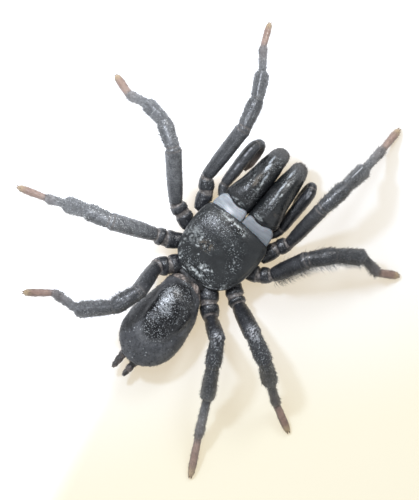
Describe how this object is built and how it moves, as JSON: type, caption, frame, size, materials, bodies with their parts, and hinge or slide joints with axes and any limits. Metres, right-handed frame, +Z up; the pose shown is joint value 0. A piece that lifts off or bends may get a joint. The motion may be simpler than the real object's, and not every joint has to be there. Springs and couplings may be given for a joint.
{
  "type": "black purseweb spider, male, standing still model",
  "caption": "Life-size still model of a male black purseweb spider standing with legs spread, jaws held forward, palps folded and long rear spinnerets.",
  "frame": {"origin": "on the floor, under the middle of the model's outline", "axes": "+Z up; the head points to -Y; the spider's own left side is +X"},
  "size_m": [0.0232, 0.0254, 0.0046],
  "materials": {
    "black_shell": "glossy black cuticle",
    "black_leg": "glossy black cuticle with short hairs",
    "abdomen_black": "matte black skin with a glossier plate",
    "foot_brown": "black cuticle that turns reddish brown towards the tip",
    "membrane_grey": "pale lavender-grey soft membrane",
    "eye_black": "wet-looking black",
    "fang_brown": "polished dark red-brown",
    "waist_brown": "reddish-brown soft folds"
  },
  "bodies": {
    "root": {"carapace": "black_shell", "eye_group": "eye_black", "sternum": "black_shell", "pedicel": "waist_brown", "abdomen": "abdomen_black", "spinneret_left": "abdomen_black", "spinneret_right": "abdomen_black", "cheliceral_membrane": "membrane_grey", "chelicera_left": "black_shell", "chelicera_right": "black_shell", "fang_left": "fang_brown", "fang_right": "fang_brown", "palp_left_coxa": "black_leg", "palp_left_femur": "black_leg", "palp_left_tip": "black_leg", "palp_right_coxa": "black_leg", "palp_right_femur": "black_leg", "palp_right_tip": "black_leg", "leg_left_1_coxa": "black_leg", "leg_left_1_femur": "black_leg", "leg_left_1_tibia": "black_leg", "leg_left_1_foot": "foot_brown", "leg_left_2_coxa": "black_leg", "leg_left_2_femur": "black_leg", "leg_left_2_tibia": "black_leg", "leg_left_2_foot": "foot_brown", "leg_left_3_coxa": "black_leg", "leg_left_3_femur": "black_leg", "leg_left_3_tibia": "black_leg", "leg_left_3_foot": "foot_brown", "leg_left_4_coxa": "black_leg", "leg_left_4_femur": "black_leg", "leg_left_4_tibia": "black_leg", "leg_left_4_foot": "foot_brown", "leg_right_1_coxa": "black_leg", "leg_right_1_femur": "black_leg", "leg_right_1_tibia": "black_leg", "leg_right_1_foot": "foot_brown", "leg_right_2_coxa": "black_leg", "leg_right_2_femur": "black_leg", "leg_right_2_tibia": "black_leg", "leg_right_2_foot": "foot_brown", "leg_right_3_coxa": "black_leg", "leg_right_3_femur": "black_leg", "leg_right_3_tibia": "black_leg", "leg_right_3_foot": "foot_brown", "leg_right_4_coxa": "black_leg", "leg_right_4_femur": "black_leg", "leg_right_4_tibia": "black_leg", "leg_right_4_foot": "foot_brown"}
  },
  "joints": []
}
